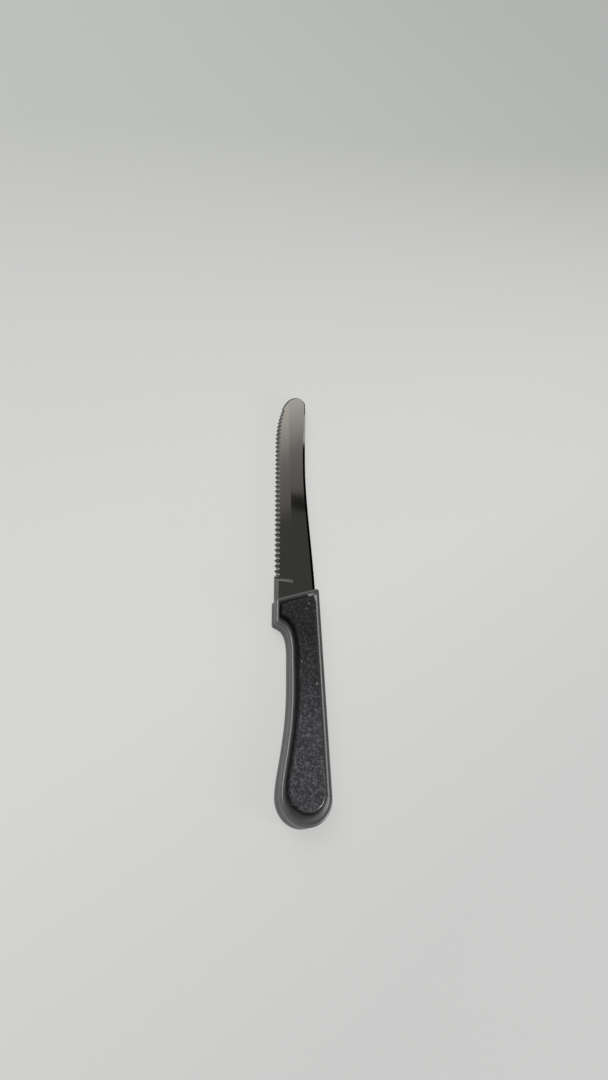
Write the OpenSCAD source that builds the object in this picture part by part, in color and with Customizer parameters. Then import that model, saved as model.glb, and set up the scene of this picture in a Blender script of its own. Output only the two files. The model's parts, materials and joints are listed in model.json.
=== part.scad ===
// Small serrated fruit knife with a round tip.
// The blade is one stamping with a hidden tang. Two moulded half shells close round the tang,
// three rivets hold the stack, and a raised grip panel in each shell covers the rivet heads.
// Knife frame while modelling: X runs from the cutting edge to the spine, Y from the butt to the
// tip, Z across the thickness. X = 0 is the cutting edge, Y = 0 the front corner of the guard and
// Z = 0 the middle of the blade. The finished knife lies flat, with Z = 0 under its rear panel.

/* [Blade] */
// Length of the blade from the guard's front corner to the tip
blade_length = 122; // [100:1:150]
// Thickness of the blade and its tang
blade_thick = 0.9; // [0.8:0.1:1.4]
// Width of the blade at the heel
heel_width = 19.7; // [18.5:0.1:20]
// Width of the blade where the back dips
dip_width = 16.1; // [15:0.1:17.5]
// Distance of the dip from the guard's front corner
dip_place = 74; // [60:1:85]
// Width of the blade behind the round tip
tip_width = 16.9; // [16:0.1:18]
// Length over which the cutting edge sweeps round to the tip
tip_run = 35.5; // [28:0.5:40]
// Distance of the tip's highest point from the line of the cutting edge
tip_reach = 13; // [10:0.1:13.2]
// Radius of the corner between the tip and the back
tip_corner_r = 3.6; // [2:0.1:3.7]

/* [Grind and teeth] */
// Distance of the plunge groove from the guard's front corner
plunge_place = 11.2; // [10:0.1:18]
// Width of the ground face at the plunge groove
grind_heel_width = 8.8; // [6:0.1:11]
// Width of the ground face at the tip
grind_tip_width = 6.4; // [5:0.1:9]
// Thickness left at the cutting edge
edge_thick = 0.4; // [0.3:0.05:0.5]
// Width of the plunge groove at its end on the flat of the blade
plunge_width = 1.5; // [1:0.1:2]
// Depth of the plunge groove at its end on the flat of the blade
plunge_depth = 0.1; // [0.06:0.01:0.12]
// Width of the bevel along the plain edge of the heel
bevel_width = 2; // [1.5:0.1:3]
// Distance from one tooth to the next
tooth_pitch = 2.7; // [2.2:0.1:4]
// Depth of the gullets between the teeth
tooth_depth = 1; // [0.7:0.05:1.2]
// Reach of a gullet over the front face
tooth_reach = 2.4; // [2.2:0.1:3]
// Radius of the wheel that grinds a gullet
gullet_r = 3; // [2.4:0.1:3.2]
// Angle round the tip at which the teeth stop
tooth_stop_angle = 43; // [20:1:50]

/* [Tang and rivets] */
// Width of the tang
tang_width = 9; // [8:0.1:10]
// Bare handle between the tang's end and the butt
tang_end_gap = 9; // [7:0.5:16]
// Diameter of a rivet's shank
rivet_d = 3; // [2:0.1:4]
// Diameter of a rivet's head
rivet_head_d = 5.6; // [5:0.1:7]
// Height of a rivet's head
rivet_head_h = 0.9; // [0.6:0.1:1.5]
// Distance of the first rivet from the guard's front corner
rivet_first = 15; // [12:0.5:18]
// Distance from one rivet to the next
rivet_spacing = 26; // [18:0.5:28]

/* [Handle] */
// Length of the handle from the guard's front corner to the butt
handle_length = 88.5; // [82:0.5:110]
// Step from the back of the blade's heel up to the back of the handle
heel_step = 1; // [0.6:0.1:2]
// Slant of the handle's front face, in degrees
front_rake = 23; // [10:1:30]
// Outward lean of the back of the handle, in degrees
spine_lean = 1.7; // [0:0.1:3]
// Length of the guard along the handle
guard_length = 11; // [9:0.1:14]
// Slope of the guard's underside, in degrees
guard_slope = 20; // [5:1:30]
// Depth of the finger notch behind the guard
notch_depth = 6.7; // [5:0.1:7.5]
// Distance of the straight waist's front end from the guard's front corner
waist_front = 23.5; // [21:0.5:27]
// Distance of the straight waist's rear end from the guard's front corner
waist_rear = 36; // [30:0.5:42]
// Width of the handle at the round butt
butt_width = 21; // [18:0.1:23]
// Radius of the handle's front corners
front_round = 1; // [0.5:0.1:1.5]
// Radius of the guard's lower corner
guard_round = 1.3; // [0.8:0.1:1.6]

/* [Shell rim] */
// Height of the rim over the middle of the blade at the guard
rim_front = 3.2; // [3:0.1:3.8]
// Height of the rim over the middle of the blade at the butt
rim_butt = 4; // [3.4:0.1:4.4]
// Radius of the rim's outer edge
rim_round = 0.9; // [0.5:0.1:1.2]
// Width of the rim up to the end of its crest
crest_width = 1.25; // [1.25:0.05:1.6]
// Fall of the rim from its crest to the foot of the panel
rim_fall = 1.2; // [0.8:0.1:1.3]
// Chamfer along the joint between the two shells
joint_chamfer = 0.2; // [0.1:0.05:0.4]
// Height of the panel's seat over the middle of the blade
seat_height = 1.6; // [1.4:0.05:1.65]

/* [Grip panel] */
// Height of the panel's face over the middle of the blade
panel_height = 5.2; // [4.8:0.1:6]
// Radius of the panel's edge
panel_round = 0.9; // [0.5:0.1:1.2]
// Rim between the front face and the panel
panel_front_margin = 3; // [2.5:0.1:3.5]
// Rim between the guard's side and the panel
panel_guard_margin = 2; // [1.7:0.1:2.5]
// Rim between the guard's underside and the panel
panel_under_margin = 3.2; // [2.5:0.1:3.5]
// Rim along both long sides of the panel
panel_side_margin = 3.1; // [2.5:0.1:3.3]
// Rim between the panel and the butt
panel_butt_margin = 4.6; // [3.5:0.1:6]

/* [Fits] */
// Gap round the tang's edges in its pocket, whose floors clamp its faces
tang_clearance = 0.15; // [0.05:0.05:0.3]
// Gap round a rivet's shank
rivet_clearance = 0.1; // [0.05:0.05:0.2]
// Gap round a rivet's head under the panel
head_clearance = 0.25; // [0.1:0.05:0.4]
// Gap round the panel in its seat
panel_clearance = 0.1; // [0.05:0.05:0.2]
// Gap between the heel of the blade and the front of the handle
heel_clearance = 0.1; // [0.05:0.05:0.2]

/* [Hidden] */

$fn = 64;

// Extra reach of a cut past the surface that it opens
over = 1;
// Steps along the curves of the outlines
corner_steps = 4;
notch_steps = 12;
flare_steps = 14;
butt_steps = 30;
tip_steps = 24;
back_steps = 14;
fillet_steps = 4;
slope_steps = 5;
// How far the outlines' curves keep an end's direction, as a share of the curve's length
notch_pull = 0.65;
flare_waist_pull = 0.52;
flare_butt_pull = 0.2;
back_dip_pull = 0.4;
back_heel_pull = 0.3;
heel_pull = [0.35, 0.4];
// The rivets differ in nothing but their place
rivet_count = 3;

half_thick = blade_thick / 2;
edge_straight = blade_length - tip_run;
grind_reach = 2 * heel_width;
gullet_reach = 3 * tooth_reach;
wheel_depth = 2 * blade_thick;
guard_slope_length = 2 * guard_round;
butt_r = butt_width / 2;
guard_width = heel_width + heel_step;
core_overlap = panel_round / 2;

// Where the back of the handle lies, and where it meets the slanted front face
function spine_x(y) = guard_width - y * tan(spine_lean);
front_top_y = guard_width * tan(front_rake) / (1 + tan(front_rake) * tan(spine_lean));

// The knife lies with its box centred on the origin
butt_center = butt_place(0, 0, 0);
knife_width = butt_center.x + butt_r;
shift = [-knife_width / 2, (handle_length - blade_length) / 2, panel_height];

// The tang runs down the middle of the waist, and the rivets down the middle of the tang
waist_middle_y = -(waist_front + waist_rear) / 2;
tang_x = (notch_depth + spine_x(waist_middle_y)) / 2;
tang_end_y = tang_end_gap - handle_length;
function rivet_y(i) = -rivet_first - i * rivet_spacing;

// Curves: a cubic curve and an arc without their last point, and a round corner at b
function cubic(a, b, c, d, n) = [
    for (i = [0:n - 1])
    let(t = i / n, s = 1 - t)
    s * s * s * a + 3 * s * s * t * b + 3 * s * t * t * c + t * t * t * d
];
function arc(center, radius, from, to, n) = [
    for (i = [0:n - 1])
    let(a = from + (to - from) * i / n)
    center + radius * [cos(a), sin(a)]
];
function unit(v) = v / norm(v);
function round_corner(a, b, c, radius, n) =
    let(
        u = unit(a - b),
        v = unit(c - b),
        half = acos(u * v) / 2,
        reach = radius / tan(half),
        center = b + unit(u + v) * radius / sin(half),
        p = b + u * reach - center,
        q = b + v * reach - center,
        from = atan2(p.y, p.x),
        turn = atan2(p.x * q.y - p.y * q.x, p * q)
    )
    [for (i = [0:n]) center + radius * [cos(from + turn * i / n), sin(from + turn * i / n)]];

// Handle outline. Margins draw it in, in this order: front, guard, underside, sides, butt.
function butt_place(side, spine, butt) =
    let(r = butt_r - side, y = butt + r - handle_length)
    [spine_x(y) - spine - r / cos(spine_lean), y];
function handle_outline(m) =
    let(
        front_drop = m[0] / cos(front_rake),
        top_left = [m[1], m[1] * tan(front_rake) - front_drop],
        top_x = spine_x(front_top_y - front_drop) - m[3],
        top_right = [top_x, top_x * tan(front_rake) - front_drop],
        guard_low = [m[1], m[2] - guard_length],
        slope = [cos(guard_slope), -sin(guard_slope)],
        slope_end = guard_low + guard_slope_length * slope,
        notch_start = slope_end + guard_slope_length * slope,
        waist_x = notch_depth + m[3],
        pull = (waist_front - guard_length) * notch_pull,
        waist_top = [waist_x, -waist_front],
        waist_low = [waist_x, -waist_rear],
        r = butt_r - m[3],
        center = butt_place(m[3], m[3], m[4]),
        butt_left = center - [r, 0],
        run = [0, waist_low.y - butt_left.y],
        butt_right = center + r * [cos(spine_lean), sin(spine_lean)]
    )
    concat(
        round_corner(top_right, top_left, guard_low, front_round, corner_steps),
        round_corner(top_left, guard_low, slope_end, guard_round, corner_steps),
        cubic(slope_end, notch_start, waist_top + [0, pull], waist_top, notch_steps),
        [waist_top],
        cubic(
            waist_low, waist_low - run * flare_waist_pull,
            butt_left + run * flare_butt_pull, butt_left, flare_steps
        ),
        arc(center, r, 180, 360 + spine_lean, butt_steps),
        [butt_right],
        round_corner(butt_right, top_right, top_left, front_round, corner_steps)
    );

// Closed rim through a loop of outlines with the same number of points: up its outside, over the
// top and down its inside
module rim(outlines) {
    count = len(outlines[0]);
    turns = len(outlines);
    faces = [
        for (k = [0:turns - 1], i = [0:count - 1])
        let(
            low = k * count,
            high = ((k + 1) % turns) * count,
            next = (i + 1) % count
        )
        each [[low + i, high + next, low + next], [low + i, high + i, high + next]]
    ];
    polyhedron(points = [for (outline = outlines) each outline], faces = faces, convexity = 6);
}

// Height of the rim's crest, which grows from the guard to the butt
function crest_height(y) = rim_front + (rim_butt - rim_front) * max(0, -y) / handle_length;
function level(outline, z) = [for (p = outline) [p.x, p.y, z]];
function below_crest(outline, drop) = [for (p = outline) [p.x, p.y, crest_height(p.y) - drop]];
function even(d) = [d, d, d, d, d];
seat_margins = [
    panel_front_margin, panel_guard_margin, panel_under_margin, panel_side_margin, panel_butt_margin
];

// Outline of the tang and of its pocket, with a round end towards the butt
module tang_shape(gap) {
    r = tang_width / 2 + gap;
    translate([tang_x, tang_end_y + tang_width / 2]) circle(r);
    translate([tang_x - r, tang_end_y + tang_width / 2])
        square([2 * r, heel_y(tang_x + r) - tang_end_y]);
}
function heel_y(x) = x * tan(front_rake) + heel_clearance / cos(front_rake);

// One half of the handle: a rounded rim that falls to a flat seat for the panel. The floor under
// the seat reaches halfway under the rim, so that the two join in depth.
module shell_half() {
    seat = handle_outline(seat_margins);
    outlines = [
        level(handle_outline(even(joint_chamfer)), 0),
        level(handle_outline(even(0)), joint_chamfer),
        for (i = [0:fillet_steps])
        let(a = 90 * i / fillet_steps)
        below_crest(handle_outline(even(rim_round * (1 - cos(a)))), rim_round * (1 - sin(a))),
        for (i = [0:slope_steps])
        let(t = i / slope_steps)
        below_crest(
            handle_outline(even(crest_width) * (1 - t) + seat_margins * t),
            rim_fall * (1 - cos(180 * t)) / 2
        ),
        level(seat, seat_height),
        level(seat, 0)
    ];
    difference() {
        union() {
            rim(outlines);
            linear_extrude(seat_height) polygon(handle_outline((even(crest_width) + seat_margins) / 2));
        }
        translate([0, 0, -over]) linear_extrude(half_thick + over) tang_shape(tang_clearance);
        rivet_holes(rivet_d / 2 + rivet_clearance, -over, seat_height + over);
    }
}

// A raised panel with a rounded edge round its core, and blind holes under it for the rivet heads
module grip_panel() {
    edge = seat_margins + even(panel_clearance);
    core = handle_outline(edge + even(panel_round + core_overlap));
    inside = handle_outline(edge + even(panel_round + 2 * core_overlap));
    outlines = [
        level(handle_outline(edge), seat_height),
        for (i = [0:fillet_steps])
        let(a = 90 * i / fillet_steps)
        level(
            handle_outline(edge + even(panel_round * (1 - cos(a)))),
            panel_height - panel_round * (1 - sin(a))
        ),
        level(inside, panel_height),
        level(inside, seat_height)
    ];
    difference() {
        union() {
            rim(outlines);
            translate([0, 0, seat_height]) linear_extrude(panel_height - seat_height) polygon(core);
        }
        rivet_holes(rivet_head_d / 2 + head_clearance, 0, seat_height + rivet_head_h + head_clearance);
    }
}

module rivet_holes(radius, from, to) {
    for (i = [0:rivet_count - 1])
        translate([tang_x, rivet_y(i), from]) cylinder(r = radius, h = to - from);
}

// A rivet with a formed head on each shell's seat
module rivet(i) {
    translate(shift) translate([tang_x, rivet_y(i), 0]) {
        cylinder(d = rivet_d, h = 2 * seat_height, center = true);
        for (side = [0, 1]) mirror([0, 0, side])
            translate([0, 0, seat_height]) cylinder(d = rivet_head_d, h = rivet_head_h);
    }
}

// Blade: outline from the heel round the tip and down the back
module blade_shape() {
    heel_edge = [0, heel_y(0)];
    heel_back = [heel_width, heel_y(heel_width)];
    dip = [dip_width, dip_place];
    back_top = [tip_width, blade_length - tip_corner_r];
    rise = back_top.y - dip.y;
    fall = dip.y - heel_back.y;
    polygon(concat(
        [heel_edge],
        [for (i = [0:tip_steps]) edge_on_tip(90 * i / tip_steps)],
        arc(back_top - [tip_corner_r, 0], tip_corner_r, 90, 0, 2 * corner_steps),
        cubic(
            back_top, back_top - [0, rise * back_dip_pull],
            dip + [0, rise * back_dip_pull], dip, back_steps
        ),
        cubic(
            dip, dip - [0, fall * back_heel_pull],
            heel_back + [(dip.x - heel_back.x) * heel_pull.x, fall * heel_pull.y], heel_back, back_steps
        ),
        [heel_back]
    ));
}

// The cutting edge sweeps round the tip on a quarter of an ellipse
function edge_on_tip(a) = [tip_reach * (1 - cos(a)), edge_straight + tip_run * sin(a)];
function edge_speed(a) = norm([tip_reach * sin(a), tip_run * cos(a)]) * PI / 180;
function edge_inward(a) = atan2(-tip_reach * sin(a), tip_run * cos(a));
function tip_tooth_angles(a) =
    a > tooth_stop_angle ? [] : concat([a], tip_tooth_angles(a + tooth_pitch / edge_speed(a)));

// Teeth: first along the straight edge from the plunge groove, then round the tip at the same pitch
tooth_start = plunge_place + plunge_width / 2 + tooth_pitch / 2;
straight_teeth = floor((edge_straight - tooth_start) / tooth_pitch);
first_tip_angle =
    (tooth_start + (straight_teeth + 1) * tooth_pitch - edge_straight) / edge_speed(0);

// The ground faces fall from the flat of the blade to the cutting edge
grind_run = blade_length - plunge_place;
grind_turn = atan((grind_heel_width - grind_tip_width) / grind_run);
grind_mean_width = (grind_heel_width + grind_tip_width) / 2;
grind_fall = atan((half_thick - edge_thick / 2) / grind_mean_width);
bevel_fall = atan((half_thick - edge_thick / 2) / bevel_width);
function ground_half(x) = edge_thick / 2 + min(x, grind_mean_width) * tan(grind_fall);

// A cut above a plane that falls towards the cutting edge, from a line on the blade's face
module face_cut(start, length, turn, fall) {
    translate([start.x, start.y, half_thick]) rotate([0, 0, turn]) rotate([0, -fall, 0])
        translate([-grind_reach, 0, 0]) cube([grind_reach, length, blade_thick]);
}

// A groove where the grind begins, which sinks half as fast as the ground face towards the edge
module plunge_groove() {
    r = (plunge_width * plunge_width / 4 + plunge_depth * plunge_depth) / (2 * plunge_depth);
    length = grind_heel_width + over;
    translate([grind_heel_width, plunge_place, half_thick + r - plunge_depth])
        rotate([0, -90 - grind_fall / 2, 0]) cylinder(r = r, h = length);
}

// A gullet, ground into the front face at a slant so that it is deepest at the cutting edge, and
// smaller where the edge is thicker. The cutter is the part of the wheel that reaches the blade.
module gullet(place, inward) {
    back = ground_half(place.x);
    share = edge_thick / (2 * back);
    slant = atan(2 * back / ((tooth_reach - tooth_depth) * share));
    translate([place.x, place.y, -back]) rotate([0, 0, inward]) translate([tooth_depth * share, 0, 0])
        rotate([0, -slant, 0]) translate([-tooth_reach, 0, gullet_r])
        rotate([0, 90, 0]) intersection() {
            cylinder(r = gullet_r, h = gullet_reach);
            translate([gullet_r - wheel_depth, -tooth_pitch, 0])
                cube([wheel_depth + over, 2 * tooth_pitch, gullet_reach]);
        }
}

module blade() {
    color("silver") translate(shift) difference() {
        translate([0, 0, -half_thick]) union() {
            linear_extrude(blade_thick) blade_shape();
            linear_extrude(blade_thick) tang_shape(0);
        }
        for (side = [0, 1]) mirror([0, 0, side]) {
            face_cut([grind_heel_width, plunge_place], blade_length, grind_turn, grind_fall);
            face_cut([bevel_width, 0], plunge_place, 0, bevel_fall);
            plunge_groove();
        }
        for (i = [0:straight_teeth]) gullet([0, tooth_start + i * tooth_pitch], 0);
        for (a = tip_tooth_angles(first_tip_angle)) gullet(edge_on_tip(a), edge_inward(a));
        rivet_holes(rivet_d / 2 + rivet_clearance, -blade_thick, blade_thick);
    }
}

module front_shell() {
    color("#2b2b2b") translate(shift) shell_half();
}

module rear_shell() {
    color("#2b2b2b") translate(shift) mirror([0, 0, 1]) shell_half();
}

module front_grip_panel() {
    color("#1c1c1e") translate(shift) grip_panel();
}

module rear_grip_panel() {
    color("#1c1c1e") translate(shift) mirror([0, 0, 1]) grip_panel();
}

module front_rivet() {
    color("gainsboro") rivet(0);
}

module middle_rivet() {
    color("gainsboro") rivet(1);
}

module rear_rivet() {
    color("gainsboro") rivet(2);
}

blade();
front_shell();
rear_shell();
front_grip_panel();
rear_grip_panel();
front_rivet();
middle_rivet();
rear_rivet();
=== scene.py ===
"""Fruit knife with a serrated steel blade and a black handle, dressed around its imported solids."""
import json
import math

import bmesh
import bpy
from mathutils import Matrix, Vector, noise

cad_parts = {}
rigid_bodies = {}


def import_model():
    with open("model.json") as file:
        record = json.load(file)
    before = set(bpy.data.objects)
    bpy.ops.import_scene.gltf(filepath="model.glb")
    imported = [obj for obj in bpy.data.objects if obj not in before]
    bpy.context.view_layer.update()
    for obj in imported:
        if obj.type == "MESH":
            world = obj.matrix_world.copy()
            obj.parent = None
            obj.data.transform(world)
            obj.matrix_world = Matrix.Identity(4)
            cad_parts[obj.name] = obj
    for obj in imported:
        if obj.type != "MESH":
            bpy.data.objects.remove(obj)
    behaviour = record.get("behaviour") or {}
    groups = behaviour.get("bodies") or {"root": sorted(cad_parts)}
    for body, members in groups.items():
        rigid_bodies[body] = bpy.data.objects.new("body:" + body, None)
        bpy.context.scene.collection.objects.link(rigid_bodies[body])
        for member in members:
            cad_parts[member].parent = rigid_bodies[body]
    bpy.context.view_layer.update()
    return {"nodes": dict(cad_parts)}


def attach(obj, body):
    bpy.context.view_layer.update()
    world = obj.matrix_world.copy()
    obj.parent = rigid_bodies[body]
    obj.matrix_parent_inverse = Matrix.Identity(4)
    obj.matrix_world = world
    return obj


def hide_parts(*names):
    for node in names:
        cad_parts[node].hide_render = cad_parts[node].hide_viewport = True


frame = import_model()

scene = bpy.context.scene
scene.view_settings.view_transform = "Standard"

# Camera, in metres and degrees: heading turns from +Y towards +X
CAMERA_PLACE = Vector((-0.0958, -0.12445, 0.2267))
CAMERA_HEADING = 35.0
CAMERA_DIP = 52.05
CAMERA_ROLL = 40.5
CLIP_NEAR = 0.01
CLIP_FAR = 20
FRAME_HEIGHT_PX = 1080
FOCAL_PX = 600
SENSOR = 36.0

# Surroundings above the backdrop, by how far a direction points to their dark side
DARK_SIDE = Vector((0.484, -0.764, 0.427))
SURROUNDINGS = (
    (-0.720, (1.60, 1.58, 1.55)),
    (-0.550, (1.15, 1.13, 1.10)),
    (-0.300, (0.95, 0.93, 0.90)),
    (-0.105, (0.640, 0.605, 0.550)),
    (-0.060, (0.400, 0.378, 0.345)),
    (-0.025, (0.214, 0.203, 0.187)),
    (0.010, (0.166, 0.159, 0.146)),
    (0.037, (0.146, 0.140, 0.130)),
    (0.070, (0.066, 0.065, 0.061)),
    (0.300, (0.061, 0.061, 0.057)),
    (0.420, (0.061, 0.061, 0.057)),
    (0.700, (0.300, 0.300, 0.295)),
    (1.000, (0.450, 0.450, 0.445)),
)

# The pale backdrop round the horizon, and the rise (sine of the height angle) where it starts to end
# and where it is over
BACKDROP = (0.50, 0.51, 0.50)
BACKDROP_TO_RISE = 0.438
OPEN_FROM_RISE = 0.470

# A small dark card in the surroundings, mirrored by the flat of the blade. Its middle lies where both
# sides are zero, and each half size is measured along its side
CARD_SIDES = (
    (Vector((0.917, 0.0, -0.399)), 0.020),
    (Vector((0.0, 0.807, -0.590)), 0.0125),
)
CARD_SOFT = 0.001
CARD_LIGHT = 0.2

# Darker places above the backdrop: direction, cosines where full and where over, and share of light left
DARK_PLACES = (
    (Vector((0.664, 0.577, 0.475)), 0.980, 0.962, 0.0),
    (Vector((-0.956, 0.252, 0.151)), 0.950, 0.800, 0.15),
)

# Lamps: name, direction from the knife, distance, width, height and strength
LAMPS = (
    ("key_box", (-0.57, 0.26, 0.78), 0.9, 0.7, 0.7, 3.2),
    ("near_box", (-0.20, -0.42, 0.885), 0.9, 0.35, 0.35, 1.0),
    ("edge_box", (0.83, -0.40, 0.40), 0.7, 0.16, 0.3, 12.0),
)
LAMP_OFF_BLADE = "edge_box"

# Floor: its colour by how far a place lies along a direction, which is painted light falling off, and
# the share of it that is even
FLOOR_SIZE = 8.0
FLOOR_DIRECTION = Vector((-0.563, 0.827, 0))
FLOOR_PAINTED_LIGHT_COLORS = (
    (-0.15, (0.612, 0.612, 0.609)),
    (-0.02, (0.680, 0.680, 0.670)),
    (0.06, (0.672, 0.672, 0.662)),
    (0.16, (0.628, 0.632, 0.622)),
    (0.32, (0.520, 0.532, 0.522)),
)
EVEN_SHARE = 0.75

# Steel: how bright its colour is by slant, which is painted shade, and how dull it is by slant, a share
# of a right angle, from the level flats over the gullets to the upright sides
PAINTED_SHADE_BY_SLANT = (
    (0.033, 1.0),
    (0.06, 0.44),
    (0.08, 0.38),
    (0.10, 0.50),
    (0.16, 0.50),
    (0.20, 0.15),
    (0.62, 0.15),
    (0.80, 0.80),
)
DULL_BY_SLANT = ((0.033, 0.0), (0.06, 1.0))
DULL_ROUGHNESS = 0.42
BRUSH_SCALE = (9000, 60, 9000)
FLAT_GREYS = ((0.3, 0.54), (0.7, 0.58))
# The groove's greys, darker than the flats' and the rivets', are painted shade in the groove
GROOVE_PAINTED_SHADE_GREYS = ((0.3, 0.27), (0.7, 0.32))
RIVET_GREYS = ((0.3, 0.50), (0.7, 0.62))

# Blade: the eased edge of its back and tip, where the back begins and the teeth end, and the groove
EASE_DEPTH = 0.00035
BACK_EASE_WIDTH = 0.0014
TIP_EASE_WIDTH = 0.0007
TIP_EASE_FROM_Y = 0.070
TIP_EASE_FULL_Y = 0.095
BACK_FROM_X = 0.001
BACK_FROM_Y = -0.0085
TEETH_TO_Y = 0.0950
FLAT_NORMAL = 0.97
SIDE_NORMAL = 0.1
GROOVE_FROM_Y = -0.0067
GROOVE_TO_Y = -0.0044
GROOVE_FACE_AREA = 5e-6

# Meshes, in metres and degrees: welding, merging of level faces, and where shading turns sharp
WELD_DISTANCE = 1e-7
MERGE_ANGLE = 0.05
SHARP_BESIDE_FLAT = 0.5
SHARP_ELSEWHERE = 25
SHARP_ON_SHELL = 32.0

# Shell plastic
SHELL_GREYS = ((0.3, 0.037), (0.7, 0.047))

# Panel: the colours of its grains and flakes, the flakes painted bright as glints, how much paler it
# is along Y than at its front as painted sheen, where its face turns into its edge by slant, and its worn
# corner
GRAIN_COLORS = (
    (0.0, (0.024, 0.024, 0.027)),
    (0.6, (0.044, 0.044, 0.049)),
    (1.0, (0.108, 0.108, 0.118)),
)
FLAKE_PAINTED_GLINT_COLORS = ((0.4, (0.32, 0.32, 0.32)), (0.7, (0.16, 0.25, 0.36)))
PANEL_PAINTED_SHEEN = (
    (-0.095, 3.0),
    (-0.071, 3.3),
    (-0.050, 1.9),
    (-0.030, 1.0),
)
EDGE_BY_SLANT = ((0.1, 0.0), (0.2, 1.0))
BUTT_FROM_Y = -0.084
BUTT_FULL_Y = -0.089
BACK_FULL_NORMAL = 0.15
WORN_ROUGHNESS = 0.22
WORN_SHINE = 1.0

# Pits in the panel's face: mesh size, pit size and depth, a finer pit, and which way the face points
GRAIN_VOXEL = 0.00024
GRAIN_SIZE = 0.0008
GRAIN_DEPTH = 0.00004
FINER_BY = 2.3
FINER_SHARE = 0.5
FACE_FROM_NORMAL = 0.9
FACE_NORMAL_SPAN = 0.1


def camera():
    data = bpy.data.cameras.new("camera")
    data.sensor_width = SENSOR
    data.lens = SENSOR * FOCAL_PX / FRAME_HEIGHT_PX
    data.clip_start = CLIP_NEAR
    data.clip_end = CLIP_FAR
    heading = math.radians(CAMERA_HEADING)
    dip = math.radians(CAMERA_DIP)
    turn = Matrix.Rotation(-heading, 4, "Z") @ Matrix.Rotation(math.pi / 2 - dip, 4, "X")
    roll = Matrix.Rotation(math.radians(CAMERA_ROLL), 4, "Z")
    obj = bpy.data.objects.new("camera", data)
    obj.matrix_world = Matrix.Translation(CAMERA_PLACE) @ turn @ roll
    scene.collection.objects.link(obj)
    scene.camera = obj


def node(tree, kind, **values):
    """A new node, with its properties and its inputs set by name."""
    made = tree.nodes.new(kind)
    for key, value in values.items():
        if hasattr(made, key):
            setattr(made, key, value)
        else:
            made.inputs[key.replace("_", " ")].default_value = value
    return made


def wire(tree, *pairs):
    for start, end in pairs:
        tree.links.new(start, end)


def new_material(name):
    material = bpy.data.materials.new(name)
    material.use_nodes = True
    tree = material.node_tree
    return material, tree, tree.nodes["Principled BSDF"]


def object_place(tree):
    return tree.nodes.new("ShaderNodeTexCoord").outputs["Object"]


def split(tree, vector):
    """The X, Y and Z outputs of a vector, by name."""
    parts = tree.nodes.new("ShaderNodeSeparateXYZ")
    wire(tree, (vector, parts.inputs["Vector"]))
    return parts.outputs


def along(tree, vector, direction):
    """How far a vector reaches along a direction."""
    dot = node(tree, "ShaderNodeVectorMath", operation="DOT_PRODUCT")
    dot.inputs[1].default_value = direction
    wire(tree, (vector, dot.inputs[0]))
    return dot.outputs["Value"]


def math_of(tree, operation, *values):
    """The result of an operation on outputs or plain numbers."""
    made = node(tree, "ShaderNodeMath", operation=operation)
    for value, socket in zip(values, made.inputs):
        if isinstance(value, bpy.types.NodeSocket):
            wire(tree, (value, socket))
        else:
            socket.default_value = value
    return made.outputs["Value"]


def mapped(tree, value, **ends):
    """A value carried from one range to another, 0 to 1 where an end isn't given."""
    made = node(tree, "ShaderNodeMapRange", **ends)
    wire(tree, (value, made.inputs["Value"]))
    return made.outputs["Result"]


def ramp(tree, value, stops):
    """A colour ramp over a value, from (place, colour) pairs."""
    made = tree.nodes.new("ShaderNodeValToRGB")
    elements = made.color_ramp.elements
    while len(elements) < len(stops):
        elements.new(0.5)
    for element, (place, color) in zip(elements, stops):
        element.position = place
        element.color = (*color, 1)
    wire(tree, (value, made.inputs["Fac"]))
    return made.outputs["Color"]


def grey_ramp(tree, value, stops):
    """A colour ramp over a value, from (place, grey) pairs."""
    return ramp(tree, value, [(place, (grey, grey, grey)) for place, grey in stops])


def long_ramp(tree, value, stops):
    """A colour ramp whose places are in the value's own units."""
    low, high = stops[0][0], stops[-1][0]
    share = mapped(tree, value, From_Min=low, From_Max=high)
    return ramp(tree, share, [((place - low) / (high - low), color) for place, color in stops])


def multiplied(tree, first, second):
    """One colour times another."""
    made = node(tree, "ShaderNodeMix", data_type="RGBA", blend_type="MULTIPLY")
    made.inputs[0].default_value = 1
    wire(tree, (first, made.inputs[6]), (second, made.inputs[7]))
    return made.outputs[2]


def toward_value(tree, share, start, end):
    """A value that goes from an output to a plain number as the share grows."""
    made = node(tree, "ShaderNodeMix", B=end)
    wire(tree, (share, made.inputs["Factor"]), (start, made.inputs["A"]))
    return made.outputs["Result"]


def surroundings():
    world = bpy.data.worlds.new("surroundings")
    world.use_nodes = True
    scene.world = world
    tree = world.node_tree
    toward = tree.nodes.new("ShaderNodeTexCoord").outputs["Generated"]
    color = long_ramp(tree, along(tree, toward, DARK_SIDE), SURROUNDINGS)
    light = card_shade(tree, toward)
    for middle, full, over, left in DARK_PLACES:
        shade = mapped(tree, along(tree, toward, middle), From_Min=full, From_Max=over, To_Min=left)
        light = math_of(tree, "MULTIPLY", light, shade)
    rise = split(tree, toward)["Z"]
    above = mapped(tree, rise, From_Min=BACKDROP_TO_RISE, From_Max=OPEN_FROM_RISE)
    backdrop = node(tree, "ShaderNodeBackground", Color=(*BACKDROP, 1))
    both = tree.nodes.new("ShaderNodeMixShader")
    wire(
        tree,
        (color, tree.nodes["Background"].inputs["Color"]),
        (light, tree.nodes["Background"].inputs["Strength"]),
        (above, both.inputs["Fac"]),
        (backdrop.outputs["Background"], both.inputs[1]),
        (tree.nodes["Background"].outputs["Background"], both.inputs[2]),
        (both.outputs["Shader"], tree.nodes["World Output"].inputs["Surface"]),
    )


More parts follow.
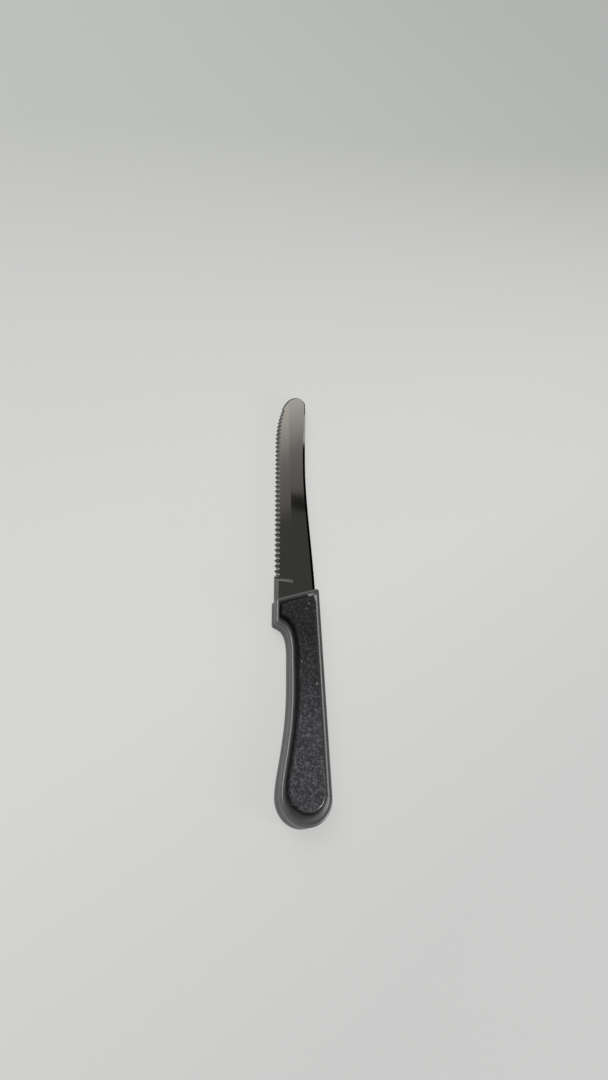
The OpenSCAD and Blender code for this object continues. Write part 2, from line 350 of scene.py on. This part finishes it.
def card_shade(tree, toward):
    """The share of light left in a direction by the dark card."""
    outside = []
    for side, half in CARD_SIDES:
        distance = math_of(tree, "ABSOLUTE", along(tree, toward, side))
        outside.append(mapped(tree, distance, From_Min=half - CARD_SOFT, From_Max=half + CARD_SOFT))
    return mapped(tree, math_of(tree, "MAXIMUM", *outside), To_Min=CARD_LIGHT)


def soft_box(name, toward, distance, width, height, strength):
    """An area lamp that shines on the middle of the knife from the direction toward."""
    data = bpy.data.lights.new(name, "AREA")
    data.shape = "RECTANGLE"
    data.size = width
    data.size_y = height
    data.energy = strength * math.pi * width * height
    obj = bpy.data.objects.new(name, data)
    away = Vector(toward).normalized()
    obj.location = away * distance
    obj.rotation_mode = "QUATERNION"
    obj.rotation_quaternion = away.to_track_quat("Z", "Y")
    scene.collection.objects.link(obj)
    return obj


def keep_off_blade(lamp):
    """Let a lamp light everything but the blade, which would mirror it as a hard white patch."""
    lit = bpy.data.collections.new(lamp.name + "_lit")
    for obj in scene.objects:
        if obj.type == "MESH" and not obj.name.startswith("blade"):
            lit.objects.link(obj)
    lamp.light_linking.receiver_collection = lit


def floor():
    mesh = bpy.data.meshes.new("floor")
    half = FLOOR_SIZE / 2
    corners = [(-half, -half, 0), (half, -half, 0), (half, half, 0), (-half, half, 0)]
    mesh.from_pydata(corners, [], [(0, 1, 2, 3)])
    obj = bpy.data.objects.new("floor", mesh)
    scene.collection.objects.link(obj)
    paint(obj, floor_paper())


def floor_paper():
    """Pale paper whose colour is painted light: it darkens far away.
    Where it is seen or mirrored, most of its brightness is even.
    """
    material, tree, shader = new_material("floor_paper")
    shader.inputs["Roughness"].default_value = 0.9
    shader.inputs["Specular IOR Level"].default_value = 0.1
    # Painted light: the colour falls off along the floor direction
    color = long_ramp(tree, along(tree, object_place(tree), FLOOR_DIRECTION), FLOOR_PAINTED_LIGHT_COLORS)
    rays = tree.nodes.new("ShaderNodeLightPath").outputs
    mirrored = math_of(tree, "MAXIMUM", rays["Is Glossy Ray"], rays["Is Transmission Ray"])
    seen = math_of(tree, "MAXIMUM", rays["Is Camera Ray"], mirrored)
    even = tree.nodes.new("ShaderNodeEmission")
    both = tree.nodes.new("ShaderNodeMixShader")
    wire(
        tree,
        (color, shader.inputs["Base Color"]),
        (color, even.inputs["Color"]),
        (math_of(tree, "MULTIPLY", seen, EVEN_SHARE), both.inputs["Fac"]),
        (shader.outputs["BSDF"], both.inputs[1]),
        (even.outputs["Emission"], both.inputs[2]),
        (both.outputs["Shader"], tree.nodes["Material Output"].inputs["Surface"]),
    )
    return material


def slant_share(tree):
    """How far the surface is tilted from level, as a share of a right angle."""
    normal = tree.nodes.new("ShaderNodeNewGeometry").outputs["True Normal"]
    level = math_of(tree, "ABSOLUTE", split(tree, normal)["Z"])
    return math_of(tree, "DIVIDE", math_of(tree, "ARCCOSINE", level), math.pi / 2)


def steel(name, ground_with_painted_shade):
    """Polished steel with fine lines along the blade. Faces left at a slant by grinding are duller,
    and darker by painted shade.
    """
    material, tree, shader = new_material(name)
    shader.inputs["Metallic"].default_value = 1
    stretch = node(tree, "ShaderNodeMapping", Scale=BRUSH_SCALE)
    lines = node(tree, "ShaderNodeTexNoise", Scale=1.0, Detail=3.0)
    bump = node(tree, "ShaderNodeBump", Strength=0.05, Distance=0.00002)
    color = grey_ramp(tree, lines.outputs["Fac"], FLAT_GREYS)
    rough = mapped(tree, lines.outputs["Fac"], To_Min=0.04, To_Max=0.07)
    if ground_with_painted_shade:
        slant = slant_share(tree)
        # Painted shade: the colour darkens by slant, most over the gullets
        color = multiplied(tree, color, grey_ramp(tree, slant, PAINTED_SHADE_BY_SLANT))
        rough = toward_value(tree, grey_ramp(tree, slant, DULL_BY_SLANT), rough, DULL_ROUGHNESS)
    wire(
        tree,
        (object_place(tree), stretch.inputs["Vector"]),
        (stretch.outputs["Vector"], lines.inputs["Vector"]),
        (color, shader.inputs["Base Color"]),
        (rough, shader.inputs["Roughness"]),
        (lines.outputs["Fac"], bump.inputs["Height"]),
        (bump.outputs["Normal"], shader.inputs["Normal"]),
    )
    return material


def dull_steel(name, greys):
    """Steel left dull by its tool, between two greys."""
    material, tree, shader = new_material(name)
    shader.inputs["Metallic"].default_value = 1
    scale = node(tree, "ShaderNodeTexNoise", Scale=900.0, Detail=3.0)
    wire(
        tree,
        (object_place(tree), scale.inputs["Vector"]),
        (grey_ramp(tree, scale.outputs["Fac"], greys), shader.inputs["Base Color"]),
        (mapped(tree, scale.outputs["Fac"], To_Min=0.36, To_Max=0.46), shader.inputs["Roughness"]),
    )
    return material


def shell_plastic():
    """Satin black moulded plastic with a faint texture."""
    material, tree, shader = new_material("satin_shell_plastic")
    shader.inputs["Specular IOR Level"].default_value = 1.0
    shader.inputs["IOR"].default_value = 1.6
    place = object_place(tree)
    cloud = node(tree, "ShaderNodeTexNoise", Scale=140.0, Detail=4.0)
    skin = node(tree, "ShaderNodeTexNoise", Scale=4200.0, Detail=2.0)
    bump = node(tree, "ShaderNodeBump", Strength=0.12, Distance=0.00003)
    wire(
        tree,
        (place, cloud.inputs["Vector"]),
        (place, skin.inputs["Vector"]),
        (grey_ramp(tree, cloud.outputs["Fac"], SHELL_GREYS), shader.inputs["Base Color"]),
        (mapped(tree, cloud.outputs["Fac"], To_Min=0.34, To_Max=0.46), shader.inputs["Roughness"]),
        (skin.outputs["Fac"], bump.inputs["Height"]),
        (bump.outputs["Normal"], shader.inputs["Normal"]),
    )
    return material


def panel_plastic():
    """Black plastic full of mineral grains, whose back corner is worn smooth at the butt."""
    material, tree, shader = new_material("granular_panel_plastic")
    place = object_place(tree)
    y = split(tree, place)["Y"]
    grains = node(tree, "ShaderNodeTexVoronoi", Scale=1500.0)
    pick = tree.nodes.new("ShaderNodeSeparateColor")
    bump = node(tree, "ShaderNodeBump", Distance=0.0001)
    edge = grey_ramp(tree, slant_share(tree), EDGE_BY_SLANT)
    worn = worn_corner(tree, y, edge)
    rough = mapped(tree, pick.outputs["Green"], To_Min=0.34, To_Max=0.6)
    sheen = mapped(tree, math_of(tree, "SUBTRACT", edge, worn), To_Min=0.35, To_Max=0.12)
    wire(
        tree,
        (place, grains.inputs["Vector"]),
        (grains.outputs["Color"], pick.inputs["Color"]),
        (panel_color(tree, place, y, pick.outputs["Red"]), shader.inputs["Base Color"]),
        (toward_value(tree, worn, rough, WORN_ROUGHNESS), shader.inputs["Roughness"]),
        (toward_value(tree, worn, sheen, WORN_SHINE), shader.inputs["Specular IOR Level"]),
        (mapped(tree, edge, To_Min=0.4, To_Max=0.0), bump.inputs["Strength"]),
        (grains.outputs["Distance"], bump.inputs["Height"]),
        (bump.outputs["Normal"], shader.inputs["Normal"]),
    )
    return material


def worn_corner(tree, y, edge):
    """How far a place is on the panel's edge, at the butt and turned to the back."""
    normal = tree.nodes.new("ShaderNodeNewGeometry").outputs["Normal"]
    butt = mapped(tree, y, From_Min=BUTT_FROM_Y, From_Max=BUTT_FULL_Y)
    behind = mapped(tree, split(tree, normal)["X"], From_Min=0.0, From_Max=BACK_FULL_NORMAL)
    return math_of(tree, "MULTIPLY", edge, math_of(tree, "MULTIPLY", butt, behind))


def panel_color(tree, place, y, grain):
    """Dark grains with a painted sheen that makes them paler towards the butt, and a few bright flakes,
    some of them blue, painted bright as glints.
    """
    most = max(painted_sheen for _, painted_sheen in PANEL_PAINTED_SHEEN)
    shares = [(at, (painted_sheen / most,) * 3) for at, painted_sheen in PANEL_PAINTED_SHEEN]
    # Painted sheen: the grains' colour grows paler towards the butt
    dark = multiplied(tree, ramp(tree, grain, GRAIN_COLORS), long_ramp(tree, y, shares))
    # Painted glints: a few flakes are painted bright in the colour
    flakes = node(tree, "ShaderNodeTexVoronoi", Scale=800.0)
    chance = tree.nodes.new("ShaderNodeSeparateColor")
    rare = mapped(tree, chance.outputs["Green"], From_Min=0.982, From_Max=0.99)
    near = mapped(tree, flakes.outputs["Distance"], From_Min=0.26, From_Max=0.16)
    color = node(tree, "ShaderNodeMix", data_type="RGBA")
    wire(
        tree,
        (place, flakes.inputs["Vector"]),
        (flakes.outputs["Color"], chance.inputs["Color"]),
        (math_of(tree, "MULTIPLY", rare, near), color.inputs[0]),
        (dark, color.inputs[6]),
        (ramp(tree, chance.outputs["Blue"], FLAKE_PAINTED_GLINT_COLORS), color.inputs[7]),
    )
    return color.outputs[2]


def copy_of(name, piece_name):
    """A welded copy of a CAD node, which it replaces."""
    mesh = frame["nodes"][name].data.copy()
    mesh.name = piece_name
    work = bmesh.new()
    work.from_mesh(mesh)
    bmesh.ops.remove_doubles(work, verts=work.verts, dist=WELD_DISTANCE)
    work.to_mesh(mesh)
    work.free()
    piece = bpy.data.objects.new(piece_name, mesh)
    scene.collection.objects.link(piece)
    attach(piece, "root")
    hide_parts(name)
    return piece


def paint(piece, *materials):
    piece.data.materials.clear()
    for material in materials:
        piece.data.materials.append(material)


def is_flat(face):
    return abs(face.normal.z) > FLAT_NORMAL


def on_back(edge):
    """Whether an edge of the blade runs between a face and the side of the back or the tip."""
    middle = (edge.verts[0].co + edge.verts[1].co) / 2
    flats = [is_flat(face) for face in edge.link_faces]
    sides = [abs(face.normal.z) < SIDE_NORMAL for face in edge.link_faces]
    behind = middle.x > BACK_FROM_X and middle.y > BACK_FROM_Y
    return any(flats) and any(sides) and (behind or middle.y > TEETH_TO_Y)


def ease_width(y):
    """How far the eased edge reaches across the face. It is narrower round the tip."""
    share = (y - TIP_EASE_FROM_Y) / (TIP_EASE_FULL_Y - TIP_EASE_FROM_Y)
    share = min(max(share, 0), 1)
    return BACK_EASE_WIDTH + share * (TIP_EASE_WIDTH - BACK_EASE_WIDTH)


def in_groove(face):
    """Whether a face of the blade belongs to the plunge groove."""
    within = GROOVE_FROM_Y < face.calc_center_median().y < GROOVE_TO_Y
    return within and face.calc_area() < GROOVE_FACE_AREA


def eased_blade(ground_with_painted_shade, polished, dull):
    """The blade with its back and tip eased on both faces, polished along the back and dull in the groove,
    whose darker grey is painted shade.
    """
    piece = copy_of("blade", "blade_eased")
    paint(piece, ground_with_painted_shade, polished, dull)
    work = bmesh.new()
    work.from_mesh(piece.data)
    merge = math.radians(MERGE_ANGLE)
    bmesh.ops.dissolve_limit(work, angle_limit=merge, verts=work.verts, edges=work.edges)
    edges = [edge for edge in work.edges if on_back(edge)]
    made = bmesh.ops.bevel(work, geom=edges, offset=EASE_DEPTH, segments=1, affect="EDGES")
    slopes = set(made["faces"])
    moves = {}
    for face in made["faces"]:
        face.material_index = int(face.calc_center_median().y < TEETH_TO_Y)
        for edge in face.edges:
            tops = [v for v in edge.verts if any(is_flat(f) and f not in slopes for f in v.link_faces)]
            if len(tops) != 1:
                continue
            inward = tops[0].co - edge.other_vert(tops[0]).co
            inward.z = 0
            moves[tops[0]] = inward.normalized() * (ease_width(tops[0].co.y) - EASE_DEPTH)
    for vertex, move in moves.items():
        vertex.co += move
    work.normal_update()
    for face in work.faces:
        face.smooth = True
        if in_groove(face) and face not in slopes:
            face.material_index = 2
    for edge in work.edges:
        beside_flat = any(is_flat(face) for face in edge.link_faces)
        sharp = SHARP_BESIDE_FLAT if beside_flat else SHARP_ELSEWHERE
        edge.smooth = edge.calc_face_angle(0) < math.radians(sharp)
    work.to_mesh(piece.data)
    work.free()


def smooth_shell(name, material):
    piece = copy_of(name, name + "_smooth")
    piece.data.shade_smooth()
    piece.data.set_sharp_from_angle(angle=math.radians(SHARP_ON_SHELL))
    paint(piece, material)


def grainy_panel(name, material):
    """The panel with its face roughened: a fine mesh whose outward face is worn into small pits."""
    piece = copy_of(name, name + "_grain")
    remesh = piece.modifiers.new("fine", "REMESH")
    remesh.mode = "VOXEL"
    remesh.voxel_size = GRAIN_VOXEL
    fine = bpy.data.meshes.new_from_object(piece.evaluated_get(bpy.context.evaluated_depsgraph_get()))
    piece.modifiers.clear()
    piece.data = fine
    normals = [vertex.normal.copy() for vertex in fine.vertices]
    for vertex, normal in zip(fine.vertices, normals):
        facing = max(0, abs(normal.z) - FACE_FROM_NORMAL) / FACE_NORMAL_SPAN
        coarse = noise.noise(vertex.co / GRAIN_SIZE)
        pit = coarse + FINER_SHARE * noise.noise(FINER_BY * vertex.co / GRAIN_SIZE)
        vertex.co -= normal * GRAIN_DEPTH * facing * (1 + pit) / 2
    fine.shade_smooth()
    paint(piece, material)


camera()
surroundings()
lamps = {name: soft_box(name, *setup) for name, *setup in LAMPS}
floor()

eased_blade(
    steel("ground_blade_steel_painted_shade", True),
    steel("polished_back_steel", False),
    dull_steel("groove_steel_painted_shade", GROOVE_PAINTED_SHADE_GREYS),
)
rivet_metal = dull_steel("rivet_steel", RIVET_GREYS)
for rivet in ("front_rivet", "middle_rivet", "rear_rivet"):
    paint(frame["nodes"][rivet], rivet_metal)
black = shell_plastic()
granular = panel_plastic()
for side in ("front", "rear"):
    smooth_shell(side + "_shell", black)
    grainy_panel(side + "_grip_panel", granular)
keep_off_blade(lamps[LAMP_OFF_BLADE])
